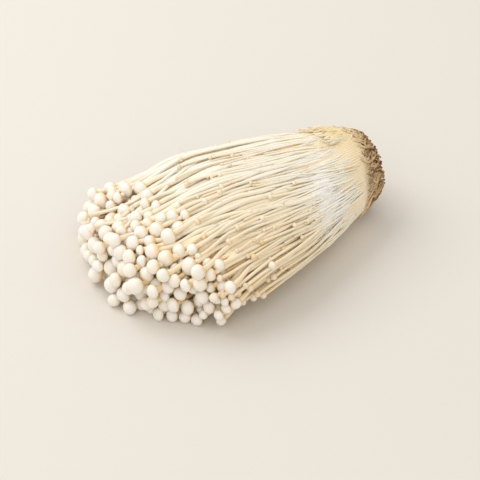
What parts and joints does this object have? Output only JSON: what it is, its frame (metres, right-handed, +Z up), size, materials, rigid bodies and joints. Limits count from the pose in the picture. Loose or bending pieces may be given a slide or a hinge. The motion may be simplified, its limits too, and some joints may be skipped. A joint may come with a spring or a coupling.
{
  "type": "enoki mushroom bunch",
  "caption": "Bunch of long thin white mushrooms with small round caps, fanning out from a foot and a slice of growing block, lying on its side.",
  "frame": {"origin": "on the surface that the bunch lies on, under the middle of its box", "axes": "+X from the caps to the cut face of the growing block, +Y across the fan, +Z up"},
  "size_m": [0.1736, 0.1302, 0.0519],
  "materials": {
    "mushroom_flesh": "smooth moist mushroom flesh, ivory stems and whiter caps",
    "growing_medium": "rough dry sawdust and bran with brown dried stem bases"
  },
  "bodies": {
    "root": {"mushroom_bunch": "mushroom_flesh", "growing_block": "growing_medium"}
  },
  "joints": []
}
